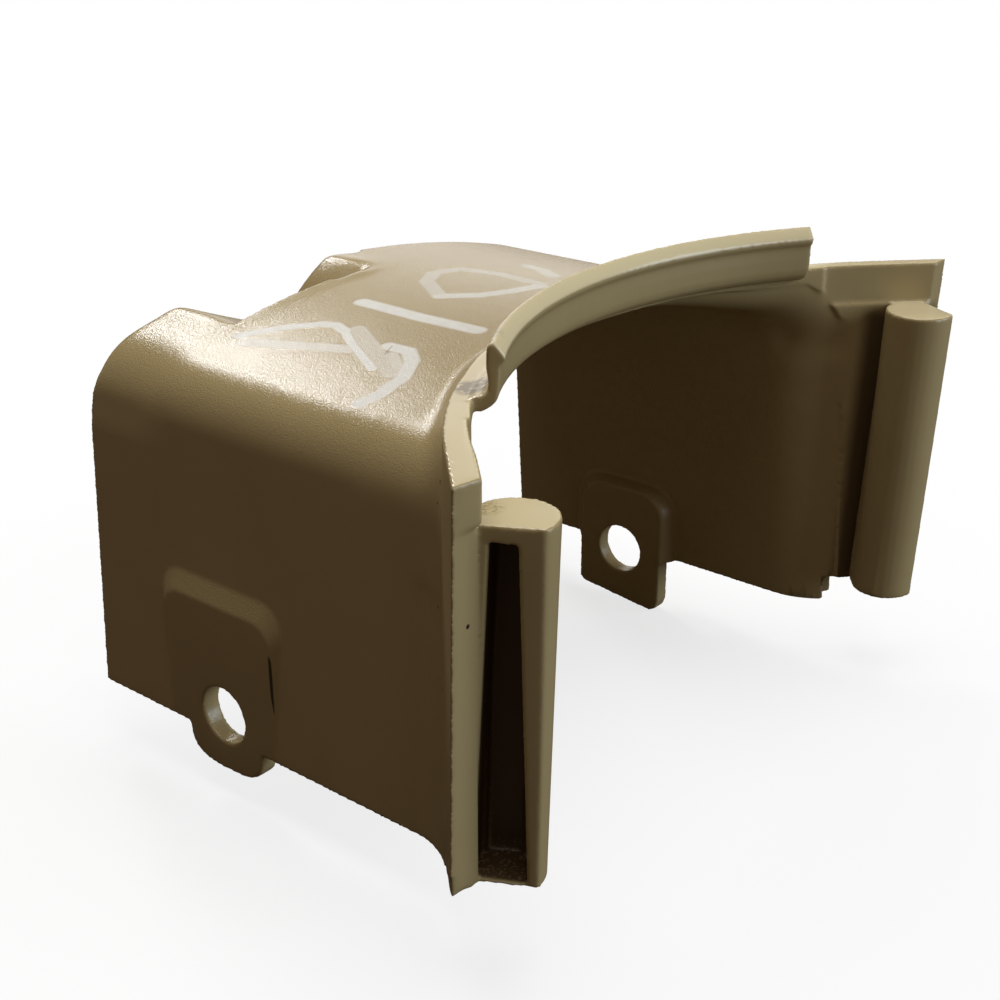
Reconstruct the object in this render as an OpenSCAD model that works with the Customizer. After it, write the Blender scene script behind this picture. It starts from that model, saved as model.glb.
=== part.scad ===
// Tractor joint cover: one moulded piece.
// A saddle shell with a flat-topped rim at its open front, a clip lip on the rim,
// a slotted post on each front corner and a joggled, drilled tab on each side wall.
// Millimetres. X runs to the open front, Y across, Z up. Z 0 is the tabs' lowest
// point, X 0 the middle of the length and Y 0 the middle of the front opening.

/* [Saddle] */
// Outside width across the wall bottoms
saddle_w = 96.1; // [80:0.1:120]
// Height of the crown above the wall bottoms
saddle_h = 59.9; // [45:0.1:80]
// Radius of the arched crown
crown_r = 155; // [100:1:260]
// Outside radius of the shoulders
shoulder_r = 8.8; // [4:0.1:14]
// Thickness of the moulded sheet
sheet = 3; // [2:0.1:4]
// Inward lean of the side walls in degrees
wall_lean = 3.03; // [0:0.01:6]
// How much further forward the far wall's back edge is
back_skew = 10.6; // [0:0.1:20]

/* [Front rim] */
// Radius of the upright round opening
rim_r = 71; // [60:0.5:90]
// Distance of the opening's axis from the near back edge
rim_axis_x = 128.5; // [120:0.5:140]
// Width of the flat rim top
rim_t = 2.9; // [2:0.1:5]
// Height of the rim top above the wall bottoms
rim_h = 60; // [50:0.1:75]
// Outward lean of the rim's outer face in degrees
rim_lean = 0.95; // [0:0.1:5]
// Depth of the rim band under the crown
band_h = 7.6; // [4:0.1:14]
// Bottom of the rim wings above the wall bottoms
wing_z = 4.4; // [0:0.1:10]
// Front end of the wings at their foot
wing_x = 83.2; // [80:0.1:86]
// Fillet radius between side wall and rim
flare_r = 12; // [6:0.5:18]
// Fillet radius between crown and rim
flare_top_r = 4.6; // [2:0.1:8]

/* [Clip lip] */
// Angle the lip spans on the near side of the middle
lip_near = 33.5; // [20:0.1:40]
// Angle the lip spans on the far side of the middle
lip_far = 34.6; // [20:0.1:40]
// Height of the lip above the rim top
lip_h = 7.6; // [4:0.1:10]

/* [Posts] */
// Distance of a post's axis in front of the wing's foot
post_ahead = 1.3; // [0:0.1:3]
// Distance of a post's axis from the wing's inner face
post_in = 3.542; // [2:0.001:5]
// Radius of the post at its cap
post_r = 5.3; // [4:0.1:7]
// Radius of the post at its foot
post_foot_r = 5.2; // [4:0.1:7]
// Height of the cap above the wall bottoms
post_h = 53.7; // [30:0.1:58]
// Slot width at the top
slot_top_w = 3.4; // [1:0.1:4]
// Slot width at the bottom
slot_foot_w = 6.8; // [2:0.1:7.5]
// Slot depth behind the flat
slot_d = 6.6; // [2:0.1:7]

/* [Tabs] */
// Bolt hole diameter
hole_d = 9; // [5:0.1:12]
// Near hole centre behind the near back edge
near_hole_x = 28.1; // [24:0.1:32]
// Near hole centre above the wall bottoms
near_hole_z = 4; // [1:0.1:6]
// Width of the near tongue
near_tongue_w = 15.9; // [12:0.1:20]
// Reach of the near tongue under the wall bottoms
near_drop = 5.4; // [3:0.1:9]
// Far hole centre behind the near back edge
far_hole_x = 36.3; // [30:0.1:44]
// Far hole centre above the wall bottoms
far_hole_z = 0.75; // [-2:0.05:4]
// Width of the far tongue
far_tongue_w = 17.8; // [14:0.1:20]
// Lowest point of the far tongue under the wall bottoms
tongue_drop = 9.9; // [7:0.1:12]
// Depth of the pressed-in far pad
joggle = 3.4; // [2:0.1:5]

/* [Back notch] */
// Length of the pressed notch from the back edge line
notch_x = 15.6; // [12:0.1:22]
// Lowest point of the notch across the part
notch_y = -9.3; // [-14:0.1:-5]
// Lowest level of the notch above the wall bottoms
notch_z = 49.5; // [44:0.1:54]

/* [Hidden] */
$fn = 96;
lean_t = tan(wall_lean);
w2 = saddle_w / 2;
crown_z = saddle_h - crown_r;
tan_y = rim_r * sin(45);
// Plan place of a post's axis at its foot
post_x = wing_x + post_ahead;
post_y = post_x - rim_axis_x + (rim_r - post_in) * sqrt(2);
// Middle of the whole length, behind the near back edge's line
middle_x = 46;
rim_lean_t = tan(rim_lean);
tan_col = [0.70, 0.63, 0.47];

// Half width of the saddle at height z, inset by d
function half_w(z, d) = w2 - z * lean_t - d / cos(wall_lean);
// Height of the shoulder circle's centre for a crown lowered by e, by halving the interval
function shoulder_zc(e, lo, hi, n) = n == 0 ? (lo + hi) / 2
    : let (m = (lo + hi) / 2,
           f = pow(half_w(m, shoulder_r), 2) + pow(m - crown_z + e, 2)
               - pow(crown_r - shoulder_r, 2))
      f > 0 ? shoulder_zc(e, lo, m, n - 1) : shoulder_zc(e, m, hi, n - 1);
sh_z = shoulder_zc(0, 20, saddle_h, 30);
sh_y = half_w(sh_z, shoulder_r);
// Angle from the upright at which crown and shoulder meet
sh_a = atan(sh_y / (sh_z - crown_z));

// Half of the saddle section from the wall foot to the crown, inset by d, lowered by e
function half_section(d, e, z0) = let (zc = shoulder_zc(e, 20, saddle_h, 30),
        yc = half_w(zc, shoulder_r), g1 = atan(yc / (zc - crown_z + e)))
    concat([[half_w(z0, d), z0]],
           [for (g = [0:1 / 14:1]) let (q = wall_lean + (90 - wall_lean - g1) * g)
               [yc + (shoulder_r - d) * cos(q), zc + (shoulder_r - d) * sin(q)]],
           [for (i = [12:-1:1]) let (q = g1 * (i - 0.5) / 12)
               [(crown_r - d) * sin(q), crown_z - e + (crown_r - d) * cos(q)]]);
module saddle_section(d, e, z0) {
    h = half_section(d, e, z0);
    polygon(concat(h, [for (i = [len(h) - 1:-1:0]) [-h[i][0], h[i][1]]]));
}

// Stands a Y-Z section up and runs it along X from x0 to x1
module run_x(x0, x1) {
    translate([x0, 0, 0]) rotate([90, 0, 90]) linear_extrude(x1 - x0) children();
}

// Everything in front of the opening: round in the middle, straight at 45 degrees outside
module front_space(z0, z1) {
    translate([0, 0, z0]) linear_extrude(z1 - z0)
        polygon(concat([for (i = [-20:20]) rim_point(i, 0)],
                       [rim_point(21, 0), [220, tan_y + 60], [220, -tan_y - 60], rim_point(-21, 0)]));
}
// Plan direction out of the rim at station i, from the near wing's end (-21) to the far one's (21)
function rim_out(i) = let (g = 2.25 * max(-20, min(20, i))) [-cos(g), sin(g)];
// Plan point at station i, a distance u outside the opening
function rim_point(i, u) = let (o = rim_out(i))
    [rim_axis_x + (rim_r + u) * o[0], (rim_r + u) * o[1]]
    + (abs(i) > 20 ? 24 * [1, sign(i)] : [0, 0]);

// Everything behind the skewed back edge
module back_space() {
    translate([0, 0, -30]) linear_extrude(120)
        polygon([[-40, -80], [back_skew * (0.5 - 80 / saddle_w), -80],
                 [back_skew * (0.5 + 80 / saddle_w), 80], [-40, 80]]);
}

// Height of the notch floor across the part, a soft valley with a gentle near side
function notch_at(y) = notch_z + 0.393 * (y - notch_y)
    + 0.797 * (sqrt(pow(y - notch_y, 2) + 7) - 1.4);

// Space over the valley, lowered by d
module notch_section(d) {
    polygon(concat([for (y = [-46:1.5:14]) [y, notch_at(y) - d]], [[14, 90], [-46, 90]]));
}

// The shell with its pressed notch
module saddle() {
    difference() {
        run_x(-4, 90) saddle_section(0, 0, 0);
        difference() {
            run_x(-5, 91) saddle_section(sheet, 0, -1);
            difference() {
                run_x(-6, notch_x + sheet) polygon([[-46, 10], [14, 10], [14, 90], [-46, 90]]);
                run_x(-7, notch_x + sheet + 1)
                    polygon(concat([for (y = [-46:2:14]) [y, notch_at(y) - sheet]], [[14, 0], [-46, 0]]));
            }
        }
        run_x(-5, notch_x) notch_section(0);
        translate([-1.2, 0, 0]) front_space(-1, 80);
    }
}

// Rim: a flat-topped upright wall round the opening, thicker at its foot, with
// straight wings to the front corners, a band under the crown and a shallow
// recess inside each wing above the posts' caps
module rim() {
    h = rim_h - wing_z;
    foot = rim_t + h * rim_lean_t;
    pts = [for (i = [-21:21]) each [concat(rim_point(i, 0), wing_z), concat(rim_point(i, foot), wing_z),
                                    concat(rim_point(i, rim_t), rim_h), concat(rim_point(i, 0), rim_h)]];
    side = [for (j = [0:41]) for (i = [0:3])
        let (p = 4 * j + i, q = 4 * j + (i + 1) % 4) each [[p, q + 4, q], [p, p + 4, q + 4]]];
    difference() {
        polyhedron(points = pts, faces = concat(side, [[0, 1, 2], [0, 2, 3],
                                                       [168, 170, 169], [168, 171, 170]]), convexity = 6);
        run_x(20, 90) saddle_section(sheet, band_h - sheet, -1);
        translate([wing_x, -90, wing_z]) rotate([0, 2.1, 0])
            translate([0, 0, -20]) cube([60, 180, 100]);
        for (s = [0, 1]) mirror([0, s, 0]) translate([0, 0, post_h]) linear_extrude(20)
            polygon([for (i = [17:21]) rim_point(i, 0.4), for (i = [21:-1:17]) rim_point(i, -2)]);
    }
}

// Rolling fillet where the saddle runs into the rim, near half.
// t goes from the wall foot (0) over the shoulder to the middle of the crown (1).
wall_len = sh_z - wing_z;
function outline(t) =
    t < 0.35 ? let (z = wing_z + wall_len * t / 0.35)
                   [-half_w(z, 0), z, -cos(wall_lean), sin(wall_lean)]
    : t < 0.6 ? let (g = wall_lean + (90 - wall_lean - sh_a) * (t - 0.35) / 0.25)
                    [-sh_y - shoulder_r * cos(g), sh_z + shoulder_r * sin(g), -cos(g), sin(g)]
    : let (g = sh_a * (1 - t) / 0.4)
          [-crown_r * sin(g), crown_z + crown_r * cos(g), -sin(g), cos(g)];
// Smooth step from 0 to 1 as t goes from a to b
function ease(t, a, b) = let (k = min(1, max(0, (t - a) / (b - a)))) k * k * (3 - 2 * k);
function flare_size(t) = (flare_r + (flare_top_r - flare_r) * ease(t, 0.2, 0.65))
    * (1 - 0.75 * ease(t, 0.7, flare_end));
flare_end = 0.92;
flare_start = -0.35 * (wing_z + 1) / wall_len;
function flare_ring(t, n) = let (o = outline(t), r = flare_size(t),
        yb = o[0] + o[2] * r, zb = o[1] + o[3] * r,
        ro = rim_r + rim_t + max(0, rim_h - zb) * rim_lean_t + r,
        out = abs(yb) > ro * sin(45),
        xb = out ? rim_axis_x + abs(yb) - ro * sqrt(2) : rim_axis_x - sqrt(max(1, ro * ro - yb * yb)),
        g = out ? -45 : asin(yb / ro),
        c = [xb, yb, zb] + [0.1, -0.1 * o[2], -0.1 * o[3]],
        n1 = [0, -o[2], -o[3]], n2 = [cos(g), -sin(g), 0],
        q = acos(n1 * n2), m = (n1 + n2) / norm(n1 + n2))
    concat([c + m * (r / cos(q / 2) + 1.2)], [c + n1 * (r + 0.7)],
           [for (i = [0:n]) c + r * (n1 * sin(q * (1 - i / n)) + n2 * sin(q * i / n)) / sin(q)],
           [c + n2 * (r + 0.7)]);
module flare() {
    n = 7;
    m = 34;
    k = n + 4;
    pts = [for (j = [0:m]) each flare_ring(flare_start + (flare_end - flare_start) * j / m, n)];
    side = [for (j = [0:m - 1]) for (i = [0:k - 1])
        let (p = j * k + i, q = j * k + (i + 1) % k) each [[p, q + k, q], [p, p + k, q + k]]];
    intersection() {
        polyhedron(points = pts, faces = concat(side, [[for (i = [0:k - 1]) i]],
                                                [[for (i = [k - 1:-1:0]) m * k + i]]), convexity = 6);
        run_x(20, 90) polygon([[-70, wing_z], [-w2 - 8, wing_z], [-w2 - 5, 0.8], [-w2 - 1, 0], [70, 0],
                               [70, rim_h], [-70, rim_h]]);
    }
}

// Clip lip: a foot, a thin upright plate and a bead, swept round the opening
module lip() {
    t = rim_h;
    translate([rim_axis_x, 0, 0]) rotate([0, 0, 180 - lip_far])
        rotate_extrude(angle = lip_near + lip_far, $fn = 240)
            polygon([[rim_r + 0.8, t - 1.5], [rim_r - 1.2, t - 1.4], [rim_r - 2.3, t - 0.9],
                     [rim_r - 3.1, t - 0.1], [rim_r - 3.4, t + 0.8], [rim_r - 3.6, t + 2.8],
                     [rim_r - 3.6, t + lip_h - 3], [rim_r - 4.2, t + lip_h - 2.5],
                     [rim_r - 4.3, t + lip_h - 1.8], [rim_r - 3.6, t + lip_h - 0.9],
                     [rim_r - 2.7, t + lip_h], [rim_r - 1.9, t + lip_h - 0.7],
                     [rim_r - 1.8, t + lip_h - 3.3], [rim_r - 2, t + 3],
                     [rim_r - 2.1, t + 2.1], [rim_r - 1.9, t + 1.2], [rim_r - 1.1, t + 0.6],
                     [rim_r - 0.3, t + 0.5], [rim_r + 0.8, t - 0.1]]);
}

// Near post: a leaning D-shaped pin closed by a cap, with a widening slot in its flat
module post() {
    h = post_h - wing_z;
    difference() {
        translate([post_x, -post_y, wing_z]) rotate([0, 1.75, 0]) difference() {
            translate([0, 0, -2]) cylinder(r1 = post_foot_r, r2 = post_r, h = h + 4, $fn = 72);
            rotate([0, 0, -61]) rotate([0, 1.1, 0]) {
                translate([2.5, -20, -10]) cube([20, 40, h + 30]);
                translate([2.5 - slot_d, 0, 0]) rotate([90, 0, 90]) linear_extrude(20)
                    polygon([[-0.32 - slot_foot_w / 2, 0.5], [-0.75 - slot_top_w / 2, h - 2.1],
                             [-0.75 + slot_top_w / 2, h - 2.1], [-0.32 + slot_foot_w / 2, 0.5]]);
            }
        }
        for (z = [post_h, wing_z - 20])
            translate([post_x - 30, -post_y - 30, z]) cube([60, 60, 20]);
    }
}

// Front end of the near wall's foot, under the rim
module wall_foot() {
    a = w2 - sheet + 0.1;
    b = w2 - 0.3;
    linear_extrude(wing_z + 0.6)
        polygon([[rim_axis_x - rim_r, -a], [rim_axis_x - sqrt(rim_r * rim_r - a * a), -a],
                 [rim_axis_x - sqrt(rim_r * rim_r - b * b), -b], [rim_axis_x - rim_r, -b]]);
}

// Outline of a pad in X and Z with rounded upper corners
module pad_outline(x0, x1, z0, z1, r) {
    translate([x0, z0]) square([x1 - x0, z1 - r - z0]);
    translate([x0 + r, z0]) square([x1 - x0 - 2 * r, z1 - z0]);
    for (x = [x0 + r, x1 - r]) translate([x, z1 - r]) circle(r = r, $fn = 32);
}

// Stands an X-Z outline at distance y outward on the near side, t thick inward
module stand(y, t) {
    translate([0, -y + t, 0]) rotate([90, 0, 0]) linear_extrude(t) children();
}

// Near pad: an upright face on the leaning wall, flush at the foot, with a soft ledge
module near_pad() {
    x0 = near_hole_x - 11.6;
    x1 = near_hole_x + 11;
    hull() {
        stand(w2, 0.4) pad_outline(x0, x1, 0, 22, 3.5);
        stand(w2 - 1.5, 0.4) pad_outline(x0 - 1.7, x1 + 2.2, 0, 25.4, 4.5);
    }
    stand(w2, sheet) near_tongue();
}

// Near tongue: full corners and a slightly arched foot
module near_tongue() {
    a = near_tongue_w / 2;
    n = 2 / 3;
    polygon(concat([[near_hole_x + a, near_hole_z + 8]],
                   [for (q = [0:-7.5:-180]) [near_hole_x + a * sign(cos(q)) * pow(abs(cos(q)), n),
                                             -near_drop * pow(abs(sin(q)), n)]],
                   [[near_hole_x - a, near_hole_z + 8]]));
}

// Far pad pressed inward, built for the near side: the space it frees, or its sheet
module far_pad(cut) {
    x0 = far_hole_x - 7.9;
    x1 = far_hole_x + 8.8;
    y = w2 - joggle;
    if (cut) {
        hull() {
            stand(w2 + 1, 0.5) pad_outline(x0 - 1.6, x1 + 2, -20, 14.6, 5);
            stand(y + 0.1, 0.1) pad_outline(x0, x1, -20, 12.6, 5);
        }
    } else {
        hull() {
            stand(w2 - sheet + 0.1, 0.3) pad_outline(x0 - 3.6, x1 + 1.6, 0, 14.2, 5.5);
            stand(y, sheet) pad_outline(x0 - 0.6, x1 + 0.3, 0, 13.2, 5);
        }
        stand(y, sheet) far_tongue();
    }
}

// Far tongue: square, with eased corners and a foot that falls towards the front
module far_tongue() {
    a = far_tongue_w / 2;
    translate([far_hole_x, -tongue_drop])
        polygon([[-a, tongue_drop + 4], [-a, 2.6], [-a + 0.8, 1.7], [a - 1.9, 0], [a - 0.6, 0.7],
                 [a, 2.3], [a, tongue_drop + 4]]);
}

// The complete cover
module joint_cover() {
    color(tan_col) translate([-middle_x, 0, tongue_drop]) difference() {
        union() {
            // Shell, rim and fillets blend into one skin that keeps its own size
            resize([0, 0, 0]) {
                saddle();
                rim();
                for (s = [0, 1]) mirror([0, s, 0]) flare();
            }
            lip();
            for (s = [0, 1]) mirror([0, s, 0]) {
                post();
                wall_foot();
            }
            near_pad();
            mirror([0, 1, 0]) far_pad(false);
        }
        back_space();
        mirror([0, 1, 0]) far_pad(true);
        translate([near_hole_x, -w2 / 2, near_hole_z]) rotate([90, 0, 0])
            cylinder(d = hole_d, h = w2, $fn = 72);
        translate([far_hole_x, w2 * 3 / 2, far_hole_z]) rotate([90, 0, 0])
            cylinder(d = hole_d, h = w2, $fn = 72);
    }
}

joint_cover();
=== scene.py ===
import math

import bmesh
import bpy
import numpy as np
from mathutils import Matrix, Vector


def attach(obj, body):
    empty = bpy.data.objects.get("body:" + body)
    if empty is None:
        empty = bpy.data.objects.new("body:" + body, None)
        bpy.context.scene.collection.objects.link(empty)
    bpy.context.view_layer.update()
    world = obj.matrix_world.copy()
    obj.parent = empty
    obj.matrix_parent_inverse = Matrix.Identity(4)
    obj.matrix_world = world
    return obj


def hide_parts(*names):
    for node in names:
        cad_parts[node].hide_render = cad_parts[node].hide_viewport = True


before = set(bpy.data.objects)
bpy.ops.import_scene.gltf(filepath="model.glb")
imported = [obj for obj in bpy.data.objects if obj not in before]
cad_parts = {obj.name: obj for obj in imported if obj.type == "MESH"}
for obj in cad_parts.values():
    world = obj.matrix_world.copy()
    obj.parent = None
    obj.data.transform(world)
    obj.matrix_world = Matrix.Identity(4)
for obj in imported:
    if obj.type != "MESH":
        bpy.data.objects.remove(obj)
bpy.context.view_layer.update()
MM = 0.001
scene = bpy.context.scene


class Nodes:
    """Short ways to add and link the nodes of a material or of the world"""

    def __init__(self, owner):
        owner.use_nodes = True
        self.tree = owner.node_tree

    def __getitem__(self, name):
        return self.tree.nodes[name]

    def new(self, kind, **props):
        n = self.tree.nodes.new(kind)
        for k, v in props.items():
            setattr(n, k, v)
        return n

    def link(self, a, b):
        self.tree.links.new(a, b)

    def put(self, value, socket):
        """Sets a socket to a number or colour, or links it to another socket"""
        if isinstance(value, (int, float)):
            socket.default_value = value
        elif isinstance(value, tuple):
            socket.default_value = value if len(socket.default_value) == len(value) else (*value, 1)
        else:
            self.link(value, socket)

    def math(self, op, a, b=0.0, clamp=False):
        n = self.new("ShaderNodeMath", operation=op, use_clamp=clamp)
        self.put(a, n.inputs[0])
        self.put(b, n.inputs[1])
        return n.outputs[0]

    def times(self, *vs):
        out = vs[0]
        for v in vs[1:]:
            out = self.math("MULTIPLY", out, v)
        return out

    def plus(self, a, b):
        return self.math("ADD", a, b)

    def minus(self, a, b):
        return self.math("SUBTRACT", a, b)

    def top(self, *vs):
        out = vs[0]
        for v in vs[1:]:
            out = self.math("MAXIMUM", out, v)
        return out

    def vec(self, op, a, b=(0.0, 0.0, 0.0)):
        n = self.new("ShaderNodeVectorMath", operation=op)
        self.put(a, n.inputs[0])
        self.put(b, n.inputs[1])
        return n.outputs[1] if op in ("LENGTH", "DISTANCE", "DOT_PRODUCT") else n.outputs[0]

    def smooth(self, v, lo, hi):
        """0 below lo, 1 above hi, or the reverse when lo is above hi"""
        n = self.new("ShaderNodeMapRange", interpolation_type="SMOOTHSTEP")
        self.put(v, n.inputs["Value"])
        n.inputs["From Min"].default_value = min(lo, hi)
        n.inputs["From Max"].default_value = max(lo, hi)
        n.inputs["To Min"].default_value = 0.0 if lo < hi else 1.0
        n.inputs["To Max"].default_value = 1.0 if lo < hi else 0.0
        return n.outputs["Result"]

    def step(self, v, span):
        """smooth() with its two limits given in mm"""
        return self.smooth(v, span[0] * MM, span[1] * MM)

    def mix(self, share, a, b):
        n = self.new("ShaderNodeMix", data_type="RGBA")
        self.put(share, n.inputs[0])
        self.put(a, n.inputs[6])
        self.put(b, n.inputs[7])
        return n.outputs[2]

    def blend(self, share, a, b):
        """Two shaders mixed"""
        n = self.new("ShaderNodeMixShader")
        self.put(share, n.inputs[0])
        self.link(a.outputs[0], n.inputs[1])
        self.link(b.outputs[0], n.inputs[2])
        return n

    def noise(self, vec, scale, detail=2.0, rough=0.5):
        n = self.new("ShaderNodeTexNoise")
        self.put(vec, n.inputs["Vector"])
        n.inputs["Scale"].default_value = scale
        n.inputs["Detail"].default_value = detail
        n.inputs["Roughness"].default_value = rough
        return n.outputs["Fac"]

    def join(self, x, y, z):
        n = self.new("ShaderNodeCombineXYZ")
        for i, v in enumerate((x, y, z)):
            self.put(v, n.inputs[i])
        return n.outputs[0]

    def split(self, v):
        n = self.new("ShaderNodeSeparateXYZ")
        self.link(v, n.inputs[0])
        return n.outputs


def rgb(r, g, b):
    """sRGB 0 to 255 as a linear colour"""
    return tuple(((c / 255 + 0.055) / 1.055) ** 2.4 if c > 10 else c / 255 / 12.92 for c in (r, g, b))


def in_scene(name, data):
    """A new object in the scene"""
    ob = bpy.data.objects.new(name, data)
    scene.collection.objects.link(ob)
    return ob


# The camera, solved from the photograph
SENSOR, PICTURE_PX, FOCAL_PX = 36.0, 1000, 1546.0
EYE = (0.13862, -0.17449, 0.13370)
RIGHT = Vector((0.77458, 0.63247, -0.00332))
UP = Vector((-0.24892, 0.30967, 0.91768))
BACK = Vector((0.58144, -0.70999, 0.39730))
lens = bpy.data.cameras.new("camera")
lens.sensor_width = SENSOR
lens.lens = FOCAL_PX * SENSOR / PICTURE_PX
lens.clip_start = 0.005
camera = in_scene("camera", lens)
camera.matrix_world = Matrix.Translation(EYE) @ Matrix((RIGHT, UP, BACK)).transposed().to_4x4()
scene.camera = camera

# Sizes of the moulding in mm, as in the part's source. The source's own axes start at the wall
# bottoms' level and back edge, and SHIFT leads from them to the frame
SHIFT = np.array([-46.0, 0.0, 9.9])
SHEET = 3.0
WALL_Y, WALL_LEAN = 48.05, math.radians(3.03)
CROWN_R, CROWN_Z = 155.0, 59.9 - 155.0
SHOULDER_R = 8.8
RIM_R, RIM_T, RIM_X, RIM_H, RIM_LEAN = 71.0, 2.9, 128.5, 60.0, math.tan(math.radians(0.95))
FLARE_R, FLARE_TOP_R = 12.0, 4.6
# Shares of the fillet's run that lie along the wall, and along wall and shoulder together
ON_WALL, ON_SHOULDER = 0.35, 0.6

# The post in the frame, in mm, with its lean and turn in degrees
POST = Vector((38.5, -51.4, 14.3))
POST_LEAN, POST_TURN, SLOT_LEAN = 1.75, -61, 1.1
# Blocks that close the slots' hidden back corners, as low and high corners about the post
SLOT_CORNERS = [((-4.35, 1.6, 0.4), (-3.2, 3.3, 47)), ((-4.75, -3.1, 0.4), (-4.0, 1.9, 47)),
                ((-4.3, -4.15, 0.4), (-2.7, -3.0, 47))]

# Mesh fineness. The mesh is remeshed askew, so that no long edge runs almost along the voxels
# and comes out stepped
VOXEL = 0.27
SOFT_PASSES = 8
TRIANGLES = 190000
ASKEW = Matrix.Rotation(0.61, 4, "X") @ Matrix.Rotation(0.43, 4, "Y") @ Matrix.Rotation(0.29, 4, "Z")

# Boxes in mm with softer forms, each as low corner, high corner and passes
SOFT_BOXES = [
    # The ridge and the horn beside the back notch
    ((-50, -10, 58), (-28, 7, 76), 130), ((-50, -45, 55), (-30.5, -10, 76), 120),
    # The wings' foot corners
    ((33, -70, 12), (50, -56.5, 18.5), 60), ((33, 56.5, 12), (50, 70, 18.5), 60),
    # The shoulders' inside by the rim, and the corner between the far wall and its wing
    ((8, 34, 46), (27, 50.5, 66), 130), ((8, -50.5, 46), (27, -34, 66), 130),
    ((22, 36, 46), (35, 52, 61.5), 90),
    # The crown's inside under the lip
    ((16, -22, 60), (36, 14, 68.6), 50),
]
BOX_FADE = 1.5


def smoothstep(t):
    return t * t * (3 - 2 * t)


def ease(t, a, b):
    """Smooth step of a number, from 0 at a to 1 at b"""
    return smoothstep(min(1.0, max(0.0, (t - a) / (b - a))))


def half_w(z, inset):
    """Half of the saddle's width at height z, measured inset below its outside"""
    return WALL_Y - z * math.tan(WALL_LEAN) - inset / math.cos(WALL_LEAN)


def shoulder_z():
    """Height at which the shoulder's circle touches both the wall and the crown"""
    lo, hi = 20.0, 60.0
    for _ in range(40):
        mid = (lo + hi) / 2
        over = half_w(mid, SHOULDER_R) ** 2 + (mid - CROWN_Z) ** 2 > (CROWN_R - SHOULDER_R) ** 2
        lo, hi = (lo, mid) if over else (mid, hi)
    return lo


SH_Z = shoulder_z()
SH_Y = half_w(SH_Z, SHOULDER_R)
SH_A = math.atan2(SH_Y, SH_Z - CROWN_Z)


def shoulder_angle(share):
    """Direction from the shoulder's centre, from the wall at 0 to the crown at 1"""
    return WALL_LEAN + (math.pi / 2 - WALL_LEAN - SH_A) * share


def inner_half(z0, inset, shoulder_steps=14, crown_steps=12):
    """Half of the shell's inside section as Y and Z, from height z0 to the crown"""
    pts = [(half_w(z0, inset), z0)]
    for k in range(shoulder_steps + 1):
        g = shoulder_angle(k / shoulder_steps)
        r = SHOULDER_R - inset
        pts.append((SH_Y + r * math.cos(g), SH_Z + r * math.sin(g)))
    for k in range(crown_steps, 0, -1):
        g = SH_A * (k - 0.5) / crown_steps
        r = CROWN_R - inset
        pts.append((r * math.sin(g), CROWN_Z + r * math.cos(g)))
    return pts


def flare_ring(t):
    """Centre, radius and the two edge directions of the outside fillet behind the rim, near half,
    from the wall's foot at t = 0 to the middle of the crown at t = 1"""
    if t < ON_WALL:
        z = SH_Z * t / ON_WALL
        o = (-half_w(z, 0), z, -math.cos(WALL_LEAN), math.sin(WALL_LEAN))
    elif t < ON_SHOULDER:
        g = shoulder_angle((t - ON_WALL) / (ON_SHOULDER - ON_WALL))
        o = (-SH_Y - SHOULDER_R * math.cos(g), SH_Z + SHOULDER_R * math.sin(g), -math.cos(g), math.sin(g))
    else:
        g = SH_A * (1 - t) / (1 - ON_SHOULDER)
        o = (-CROWN_R * math.sin(g), CROWN_Z + CROWN_R * math.cos(g), -math.sin(g), math.cos(g))
    r = (FLARE_R + (FLARE_TOP_R - FLARE_R) * ease(t, 0.2, 0.65)) * (1 - 0.75 * ease(t, 0.7, 0.92))
    y, z = o[0] + o[2] * r, o[1] + o[3] * r
    round_r = RIM_R + RIM_T + max(0, RIM_H - z) * RIM_LEAN + r
    if abs(y) > round_r * math.sqrt(0.5):
        x, g = RIM_X + abs(y) - round_r * math.sqrt(2), -math.pi / 4
    else:
        x, g = RIM_X - math.sqrt(round_r * round_r - y * y), math.asin(y / round_r)
    return (x, y, z), r, (0, -o[2], -o[3]), (math.cos(g), -math.sin(g), 0)


def block(bm, lo, hi, place):
    """Adds a box from lo to hi, moved by the matrix place"""
    got = bmesh.ops.create_cube(bm, size=1.0)["verts"]
    mid = [(a + b) / 2 for a, b in zip(lo, hi)]
    size = [b - a for a, b in zip(lo, hi)]
    shape = Matrix.Scale(MM, 4) @ place @ Matrix.Translation(mid) @ Matrix.Diagonal((*size, 1))
    bmesh.ops.transform(bm, matrix=shape, verts=got)


def hollow(x_ends=(44, 92), z0=28.0, clearance=0.05):
    """The shell's inside from well behind the rim to beyond it, to clear the opening's upper edge"""
    half = inner_half(z0, SHEET + clearance)
    ring = half + [(-y, z) for y, z in reversed(half)]
    bm = bmesh.new()
    back_end, front_end = [
        [bm.verts.new(((np.array((x, y, z)) + SHIFT) * MM).tolist()) for y, z in ring] for x in x_ends]
    bm.faces.new(back_end)
    bm.faces.new(list(reversed(front_end)))
    for i in range(len(ring)):
        j = (i + 1) % len(ring)
        bm.faces.new((back_end[j], back_end[i], front_end[i], front_end[j]))
    bmesh.ops.recalc_face_normals(bm, faces=bm.faces)
    mesh = bpy.data.meshes.new("hollow")
    bm.to_mesh(mesh)
    bm.free()
    return in_scene("hollow", mesh)


def applied(ob):
    """The object's mesh with its modifiers applied"""
    dg = bpy.context.evaluated_depsgraph_get()
    got = bpy.data.meshes.new_from_object(ob.evaluated_get(dg), depsgraph=dg)
    ob.modifiers.clear()
    ob.data = got
    return got


def triangles(mesh):
    return sum(len(p.vertices) - 2 for p in mesh.polygons)


def points(mesh):
    """The mesh's vertices as rows of x, y and z in metres"""
    co = np.empty(len(mesh.vertices) * 3, np.float32)
    mesh.vertices.foreach_get("co", co)
    return co.reshape(-1, 3).astype(np.float64)


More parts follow.
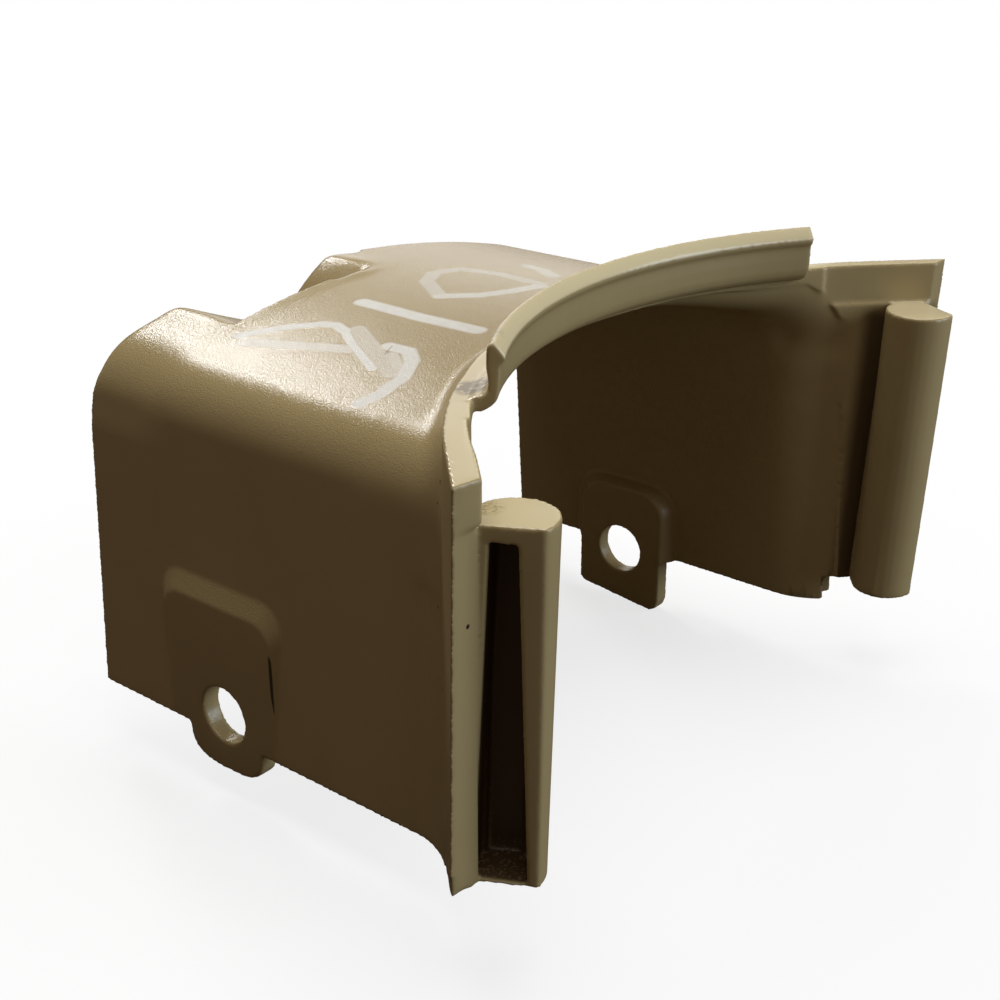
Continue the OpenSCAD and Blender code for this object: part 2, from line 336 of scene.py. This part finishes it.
def set_points(mesh, co):
    mesh.vertices.foreach_set("co", co.astype(np.float32).ravel())
    mesh.update()


def round_off(mesh, boxes):
    """Smooths the mesh inside boxes, fading out towards their sides"""
    co = points(mesh)
    edges = np.empty(len(mesh.edges) * 2, np.int32)
    mesh.edges.foreach_get("vertices", edges)
    edges = edges.reshape(-1, 2)
    for lo, hi, passes in boxes:
        lo, hi = np.array(lo) * MM, np.array(hi) * MM
        inset = np.minimum(co - lo, hi - co).min(axis=1)
        weight = np.clip(inset / (BOX_FADE * MM), 0, 1)
        e = edges[(weight[edges] > 0).any(axis=1)]
        ids, local = np.unique(e, return_inverse=True)
        a, b = local.reshape(e.shape).T
        part = co[ids]
        w = weight[ids, None] * 0.5
        count = np.bincount(np.concatenate([a, b]), minlength=len(ids))[:, None]
        for _ in range(passes):
            total = np.stack([np.bincount(a, part[b, k], len(ids)) + np.bincount(b, part[a, k], len(ids))
                              for k in range(3)], axis=1)
            part += w * (total / count - part)
        co[ids] = part
    set_points(mesh, co)


def blend_inside(mesh, x_span=(45, 84), z_span=(-0.3, 57.7), fade=0.8, beyond=1.2, steps=240, rows=20000):
    """Rounds the shell's inner edge round the opening about the outside fillet's centres"""
    co = points(mesh)
    p = co / MM - SHIFT
    p[:, 1] = -np.abs(p[:, 1])
    rings = [flare_ring(k / (steps - 1)) for k in range(steps)]
    centre, radius, n1, n2 = (np.array([ring[k] for ring in rings]) for k in range(4))
    x, z = p[:, 0], p[:, 2]
    ids = np.nonzero((x > x_span[0]) & (x < x_span[1]) & (z > z_span[0]) & (z < z_span[1]))[0]
    for part in np.array_split(ids, max(1, len(ids) // rows)):
        q = p[part]
        near = np.linalg.norm(q[:, None] - centre[None], axis=2).argmin(axis=1)
        v = q - centre[near]
        d = np.linalg.norm(v, axis=1)
        a, b, k = n1[near], n2[near], (n1[near] * n2[near]).sum(1)
        va, vb = (v * a).sum(1), (v * b).sum(1)
        inside = (va - k * vb > 0) & (vb - k * va > 0)
        want = radius[near] + SHEET
        corner = want / np.sqrt((1 + k) / 2) + beyond
        weight = np.clip((z_span[1] - q[:, 2]) / fade, 0, 1) * (inside & (d > want) & (d < corner))
        new = q + v * ((want / d - 1) * weight)[:, None]
        new[:, 1] *= np.where(co[part, 1] > 0, -1, 1)
        co[part] = (new + SHIFT) * MM
    set_points(mesh, co)


def lift_notch(mesh, from_x=-26, from_z=52, horn_to_valley=(-44, -10), flank=1.5):
    """Raises the horn and the ridge beside the back notch, and moves both towards the valley"""
    co = points(mesh)
    x, y, z = co.T / MM
    w = smoothstep(np.clip((from_x - x) / 10, 0, 1) * np.clip((z - from_z) / 6, 0, 1))

    def hump(at, wide):
        return np.exp(-((y - at) / wide) ** 2)

    near_y, far_y = horn_to_valley
    plateau = 1.0 / (1 + np.exp((y - far_y) / flank)) / (1 + np.exp((near_y - y) / flank))
    horn_slide, ridge_slide, ridge_rise = 2.6 * hump(-38, 6), 2.3 * hump(-5, 5.5), 1.7 * hump(-4, 5)
    co[:, 1] += w * (horn_slide - ridge_slide) * MM
    co[:, 2] += w * (plateau + ridge_rise) * MM
    set_points(mesh, co)


def widen_wing(mesh, start=(32.3, -50.2), cap_z=63.7, wider=1.2, reach=(-16, 12), band=(-2.6, 3)):
    """Thickens the near wing above the post's cap on its inner side, more towards its end"""
    co = points(mesh)
    x, y, z = co.T / MM
    dx, dy = x - start[0], y - start[1]
    out, along = (dx + dy) / math.sqrt(2), (dx - dy) / math.sqrt(2)
    w = np.clip((along - reach[0]) / 19, 0, 1) * np.clip((z - cap_z) / 0.6, 0, 1)
    w *= np.clip((out - band[0]) / -band[0], 0, 1)
    w *= (out < band[1]) & (along > reach[0]) & (along < reach[1])
    co[:, :2] += (w * wider * MM / math.sqrt(2))[:, None]
    set_points(mesh, co)


def close_slots(mesh):
    """Adds the blocks in the hidden back corners of both slots"""
    bm = bmesh.new()
    bm.from_mesh(mesh)
    for side in (1, -1):
        place = (Matrix.Diagonal((1, side, 1, 1)) @ Matrix.Translation(POST)
                 @ Matrix.Rotation(math.radians(POST_LEAN), 4, "Y")
                 @ Matrix.Rotation(math.radians(POST_TURN), 4, "Z")
                 @ Matrix.Rotation(math.radians(SLOT_LEAN), 4, "Y"))
        for lo, hi in SLOT_CORNERS:
            block(bm, lo, hi, place)
    bmesh.ops.recalc_face_normals(bm, faces=bm.faces)
    bm.to_mesh(mesh)
    bm.free()


def moulded_cover():
    """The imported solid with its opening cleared, its edges rounded and its soft forms worked in"""
    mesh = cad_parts["joint_cover"].data.copy()
    cover = in_scene("cover_moulding", mesh)
    bm = bmesh.new()
    bm.from_mesh(mesh)
    bmesh.ops.remove_doubles(bm, verts=bm.verts, dist=1e-6)
    bmesh.ops.recalc_face_normals(bm, faces=bm.faces)
    bm.to_mesh(mesh)
    bm.free()
    cutter = hollow()
    cut = cover.modifiers.new("cut", "BOOLEAN")
    cut.operation = "DIFFERENCE"
    cut.solver = "EXACT"
    cut.object = cutter
    mesh = applied(cover)
    bpy.data.objects.remove(cutter)
    close_slots(mesh)

    mesh.transform(ASKEW)
    remesh = cover.modifiers.new("remesh", "REMESH")
    remesh.mode = "VOXEL"
    remesh.voxel_size = VOXEL * MM
    remesh.adaptivity = 0.0
    mesh = applied(cover)
    mesh.transform(ASKEW.inverted())

    blend_inside(mesh)
    lift_notch(mesh)
    widen_wing(mesh)
    soften = cover.modifiers.new("soften", "SMOOTH")
    soften.factor = 0.5
    soften.iterations = SOFT_PASSES
    mesh = applied(cover)
    round_off(mesh, SOFT_BOXES)
    thin = cover.modifiers.new("thin", "DECIMATE")
    thin.ratio = TRIANGLES / triangles(mesh)
    for p in applied(cover).polygons:
        p.use_smooth = True
    return cover


# Hand-painted strokes on the crown: plan points in mm, half width in mm, how much they cover
STROKES = [
    ([(-27.3, -31.8), (-23.2, -27.2), (-18.6, -23.6), (-16.3, -22.8), (-13.4, -23.7)], 0.95, 0.85),
    ([(-25.1, -32.8), (-8.5, -27.8)], 1.2, 0.55),
    ([(-13.2, -24.0), (-9.0, -26.7), (-1.3, -30.9)], 0.65, 0.9),
    ([(-12.1, -22.7), (2.0, -30.6)], 1.5, 0.4),
    ([(-4.1, -24.7), (-0.3, -24.6), (2.2, -26.7), (4.4, -31.0), (4.5, -35.8), (3.6, -38.4)], 1.15, 0.9),
    ([(-1.6, -26.6), (1.7, -28.9)], 0.9, 0.55),
    ([(-19.0, -14.3), (-7.1, -14.7), (3.6, -14.4)], 1.35, 0.9),
    ([(-10.8, -6.1), (-17.7, -1.3), (-20.0, 3.0), (-18.8, 7.9), (-12.1, 9.8), (-3.5, 9.0)], 1.25, 0.5),
    ([(-10.8, -6.1), (-6.2, -2.2), (-3.9, 2.4), (-2.7, 7.9)], 1.25, 0.75),
    ([(-13.7, 18.9), (-10.1, 18.1), (-5.9, 15.4)], 1.3, 0.6),
]
# Small dark pits: places in mm and radii
PITS = [((24.1, -45.9, 61.6), 0.35), ((24.7, -47.6, 45.5), 0.25), ((23.9, -46.3, 58.9), 0.25),
        ((38.6, -58.1, 51.8), 0.4), ((26.6, -49.2, 35.2), 0.28), ((25.6, -48.4, 36.0), 0.2)]
# A scratch in the paint, in plan, and a thin dark line beside the near pad, both in mm
SCRATCH = [(-2.8, -26.8, 0), (-3.6, -24.4, 0)]
DARK_LINE, DARK_LINE_X = [(-7.2, -47.6, 27.3), (-6.9, -47.8, 24), (-6.3, -48.2, 18.4)], -6.9
# Places in mm: the opening's centre in plan, the torn patch on the rim in plan, the dirt on the cap
OPENING = (82.5, 0, 0)
TORN_AT = (20.8, -35.1, 0)
DIRT_AT = (36.2, -51.9, 63.6)
# Where surfaces begin or end in mm, as the two ends of a soft step: heights, and an x for the posts
CAPS_FROM, POSTS_FROM_X = (62.5, 63.0), (31.2, 31.8)
RIM_TOP_FROM, PLAIN_FROM, LIP_BACK_FROM = (69.0, 69.4), (70.0, 70.2), (70.2, 70.6)
CROWN_FROM = (60.0, 62.0)
SLOT_TOP, SLOT_FLOOR, GROOVE_TOP = (61.2, 60.6), (17.2, 16.0), (64.0, 61.0)
# The same about the post's axis: the slot's depth, half width and radius, and the groove's two radii
SLOT_DEEP, SLOT_HALF, SLOT_R = (2.3, 1.6), (4.5, 4.2), (4.9, 4.6)
GROOVE_IN, GROOVE_OUT = (5.5, 5.9), (9.8, 7.2)
SLOT_ASIDE = 0.4
# Share of height by which the posts lean forward
POST_SLOPE = 0.0306

KHAKI = rgb(168, 148, 103), rgb(178, 159, 114)
# Paler colour for the caps and rim top, also used as a painted highlight on the lip's back
PALE_AND_HIGHLIGHT = rgb(212, 197, 156)
# Painted shade inside the slots, painted shadow in the groove behind the far post, and scuffs on the slot
# floors
SLOT_SHADE, GROOVE_SHADOW, SCUFFED = rgb(70, 48, 30), rgb(58, 34, 16), rgb(150, 126, 100)
TORN, DIRT = rgb(118, 106, 84), rgb(146, 120, 52)
PAINT, PIT = rgb(226, 226, 219), rgb(34, 22, 14)


def metres(place):
    return tuple(Vector(place) * MM)


def away(m, pos, a, b):
    """Distance of pos from the straight line between a and b, in metres"""
    a, b = Vector(a) * MM, Vector(b) * MM
    d = b - a
    rel = m.vec("SUBTRACT", pos, tuple(a))
    t = m.math("MULTIPLY", m.vec("DOT_PRODUCT", rel, tuple(d / d.length_squared)), 1.0, clamp=True)
    return m.vec("DISTANCE", rel, m.vec("MULTIPLY", t, tuple(d)))


def nearest(m, pos, pts):
    """Distance of pos from a run of straight lines through pts"""
    out = away(m, pos, pts[0], pts[1])
    for a, b in zip(pts[1:], pts[2:]):
        out = m.math("MINIMUM", out, away(m, pos, a, b))
    return out


def shade_and_scuffs(m, base, pos, normal):
    """Painted shade inside both slots, with scuffs on their floors, and painted shadow in the groove behind
    the far post
    """
    x, y, z = m.split(pos)
    nx, _, nz = m.split(normal)
    upright = m.minus(x, m.times(m.minus(z, POST.z * MM), POST_SLOPE))
    from_post = m.vec("SUBTRACT", m.join(upright, m.times(m.math("ABSOLUTE", y), -1.0), z), metres(POST))
    c, s = math.cos(math.radians(POST_TURN)), math.sin(math.radians(POST_TURN))
    radius = m.vec("LENGTH", m.vec("MULTIPLY", from_post, (1, 1, 0)))
    sideways = m.math("ABSOLUTE", m.plus(m.vec("DOT_PRODUCT", from_post, (-s, c, 0)), SLOT_ASIDE * MM))
    slot = m.times(m.smooth(nz, -0.6, -0.3), m.step(z, SLOT_TOP),
                   m.step(m.vec("DOT_PRODUCT", from_post, (c, s, 0)), SLOT_DEEP),
                   m.step(sideways, SLOT_HALF), m.step(radius, SLOT_R))
    # Painted shade: the slot's inside darkened where shade falls
    base = m.mix(m.times(slot, 0.85), base, SLOT_SHADE)
    # Painted shadow: the far post's shadow on the groove of the far wing
    groove = m.times(m.step(radius, GROOVE_IN), m.step(radius, GROOVE_OUT),
                     m.step(y, (0.0, 1.0)), m.step(z, GROOVE_TOP), m.smooth(nx, 0.1, 0.3))
    base = m.mix(m.times(groove, 0.85), base, GROOVE_SHADOW)
    rubbed = m.smooth(m.noise(m.vec("MULTIPLY", pos, (1, 1, 2)), 2200.0, 3.0), 0.54, 0.62)
    return m.mix(m.times(rubbed, m.step(z, SLOT_FLOOR), slot, 0.6), base, SCUFFED)


def painted(m, flat, pos, nz, z):
    """How much the paint strokes cover: thin and streaky, and on the crown only"""
    streak = m.smooth(m.noise(m.vec("MULTIPLY", pos, (1, 2.2, 1)), 700.0, 4.0, 0.65), 0.20, 0.62)
    strokes = []
    for pts, half, cover_by in STROKES:
        d = nearest(m, flat, [(*q, 0) for q in pts])
        strokes.append(m.times(m.step(d, (half * 1.25, half * 0.65)), cover_by))
    return m.times(m.top(*strokes), m.smooth(nz, 0.3, 0.5), m.step(z, CROWN_FROM),
                   m.plus(m.times(streak, 0.25), 0.75))


def moulding():
    """Khaki plastic with paler upward faces, a painted highlight on the lip's back, painted shade in the
    slots and groove, dirt, paint strokes and leather grain
    """
    mat = bpy.data.materials.new("moulded_khaki")
    m = Nodes(mat)
    bsdf = m["Principled BSDF"]
    coord = m.new("ShaderNodeTexCoord")
    pos, normal = coord.outputs["Object"], coord.outputs["Normal"]
    x, _, z = m.split(pos)
    nz = m.split(normal)[2]
    flat = m.vec("MULTIPLY", pos, (1, 1, 0))
    base = m.mix(m.noise(pos, 60.0, 3.0), *KHAKI)

    # Paler colour on the upward faces of the post caps and the flat rim top, and a painted highlight on the
    # back of the lip
    cap = m.times(m.step(z, CAPS_FROM), m.step(x, POSTS_FROM_X))
    rim_front = m.step(m.vec("DISTANCE", flat, metres(OPENING)), (76.5, 75.7))
    rim_top = m.times(m.step(z, RIM_TOP_FROM), rim_front)
    # Painted highlight on the upward back of the lip
    lip_back_highlight = m.times(m.step(z, LIP_BACK_FROM), m.smooth(nz, 0.15, 0.40))
    pale_and_highlight = m.top(m.times(m.smooth(nz, 0.80, 0.95), m.top(cap, rim_top)), lip_back_highlight)
    base = m.mix(pale_and_highlight, base, PALE_AND_HIGHLIGHT)
    # Painted shade in the slots and painted shadow in the groove, with scuffs
    base = shade_and_scuffs(m, base, pos, normal)

    # Torn, greyed patch where the lip's near end was trimmed, and dried dirt on the near cap
    patch = m.times(m.step(m.vec("DISTANCE", flat, metres(TORN_AT)), (3.6, 2.2)),
                    m.step(z, RIM_TOP_FROM), m.smooth(m.noise(pos, 900.0, 3.0), 0.30, 0.50))
    base = m.mix(m.times(patch, 0.8), base, TORN)
    dirt = m.times(m.step(m.vec("DISTANCE", pos, metres(DIRT_AT)), (2.7, 1.0)),
                   m.smooth(m.noise(pos, 1900.0, 4.0, 0.7), 0.42, 0.60))
    base = m.mix(m.times(dirt, 0.7), base, DIRT)
    paint = painted(m, flat, pos, nz, z)
    base = m.mix(paint, base, PAINT)

    # A scratch in the paint, a thin dark line beside the near pad, and pits
    scratch = m.times(m.step(nearest(m, flat, SCRATCH), (0.16, 0.05)), m.step(z, CROWN_FROM), 0.6)
    dark_line = m.times(m.step(nearest(m, pos, DARK_LINE), (0.60, 0.42)),
                    m.step(m.math("ABSOLUTE", m.minus(x, DARK_LINE_X * MM)), (0.30, 0.16)), 0.9)
    pits = [m.step(m.vec("DISTANCE", pos, metres(q)), (r, r * 0.5)) for q, r in PITS]
    base = m.mix(m.top(scratch, dark_line, *pits), base, PIT)
    m.link(base, bsdf.inputs["Base Color"])
    rough = m.plus(m.times(paint, 0.25), 0.36)
    m.link(m.minus(rough, m.times(m.smooth(nz, 0.10, 0.45), 0.14)), bsdf.inputs["Roughness"])
    bsdf.inputs["Specular IOR Level"].default_value = 0.5

    # Leather grain on the crown and shoulders, a fine matt grain elsewhere
    plain = m.top(pale_and_highlight, m.step(z, PLAIN_FROM))
    grained = m.times(m.smooth(nz, 0.12, 0.50), m.minus(1.0, plain))
    bump = m.new("ShaderNodeBump")
    bump.inputs["Distance"].default_value = 0.16 * MM
    m.link(m.plus(m.noise(pos, 4600.0, 1.0), m.times(m.noise(pos, 1800.0, 1.0), 0.5)), bump.inputs["Height"])
    m.link(m.plus(m.times(grained, 0.30), 0.03), bump.inputs["Strength"])
    m.link(bump.outputs[0], bsdf.inputs["Normal"])
    return mat


cover = moulded_cover()
cover.data.materials.clear()
cover.data.materials.append(moulding())
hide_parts("joint_cover")
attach(cover, "root")

# How far from the middle the floor's faint shadow fades out, in metres, and how white it is there
SHADOW_FADE = 0.02, 0.17
SHADOW_WHITE = 0.72
WARM_DARK = (0.07, 0.05, 0.035, 1)


def white_floor():
    """White to the camera with a faint shadow near the part, and dark to all other rays"""
    mat = bpy.data.materials.new("floor_white")
    f = Nodes(mat)
    unseen = f["Principled BSDF"]
    unseen.inputs["Base Color"].default_value = WARM_DARK
    unseen.inputs["Roughness"].default_value = 1.0
    unseen.inputs["Specular IOR Level"].default_value = 0.0
    shaded = f.new("ShaderNodeBsdfDiffuse")
    shaded.inputs["Color"].default_value = (0.95, 0.95, 0.95, 1)
    glow = f.new("ShaderNodeEmission")
    here = f.new("ShaderNodeTexCoord").outputs["Object"]
    far = f.smooth(f.vec("LENGTH", here), *SHADOW_FADE)
    white = f.blend(far, f.blend(SHADOW_WHITE, shaded, glow), glow)
    by_camera = f.new("ShaderNodeLightPath").outputs["Is Camera Ray"]
    f.link(f.blend(by_camera, unseen, white).outputs[0], f["Material Output"].inputs["Surface"])
    return mat


# Plain floor
plane = bpy.data.meshes.new("floor")
bm = bmesh.new()
bmesh.ops.create_grid(bm, x_segments=1, y_segments=1, size=3.0)
bm.to_mesh(plane)
bm.free()
plane.materials.append(white_floor())
floor = in_scene("floor", plane)
floor.location.z = -0.3 * MM

LAMP_AIM = Vector((0, 0, 0.04))


def area(name, toward, far, size, power, colour=(1, 1, 1), edge=(0, 0, 1)):
    """Square lamp in direction toward, aimed at the part, with one side along edge"""
    lamp = bpy.data.lights.new(name, "AREA")
    lamp.energy = power
    lamp.size = size
    lamp.color = colour
    d = Vector(toward).normalized()
    side = Vector(edge).cross(d).normalized()
    turn = Matrix((side, d.cross(side), d)).transposed().to_4x4()
    in_scene(name, lamp).matrix_world = Matrix.Translation(d * far + LAMP_AIM) @ turn


# Soft light: distances and sizes in metres, power in watts
area("key_window", (-0.74, 0.33, 0.59), 0.9, 0.22, 2.3, edge=(0.14, -0.84, 0.52))
area("top_soft", (0.0, 0.03, 1.0), 1.0, 0.7, 6.6)
area("sheen_behind", (-0.62, 0.78, 0.20), 1.1, 0.5, 0.9)
area("fill_right", (0.86, 0.38, 0.22), 1.1, 0.8, 8.6, (0.74, 0.86, 1.0))

# Dim warm surroundings, light grey to the camera
world = bpy.data.worlds.new("world")
scene.world = world
w = Nodes(world)
dim = w["Background"]
dim.inputs["Strength"].default_value = 0.11
dim.inputs["Color"].default_value = (1.0, 0.72, 0.55, 1)
pale = w.new("ShaderNodeBackground")
by_camera = w.new("ShaderNodeLightPath").outputs["Is Camera Ray"]
w.link(w.blend(by_camera, dim, pale).outputs[0], w["World Output"].inputs["Surface"])
scene.view_settings.view_transform = "Standard"
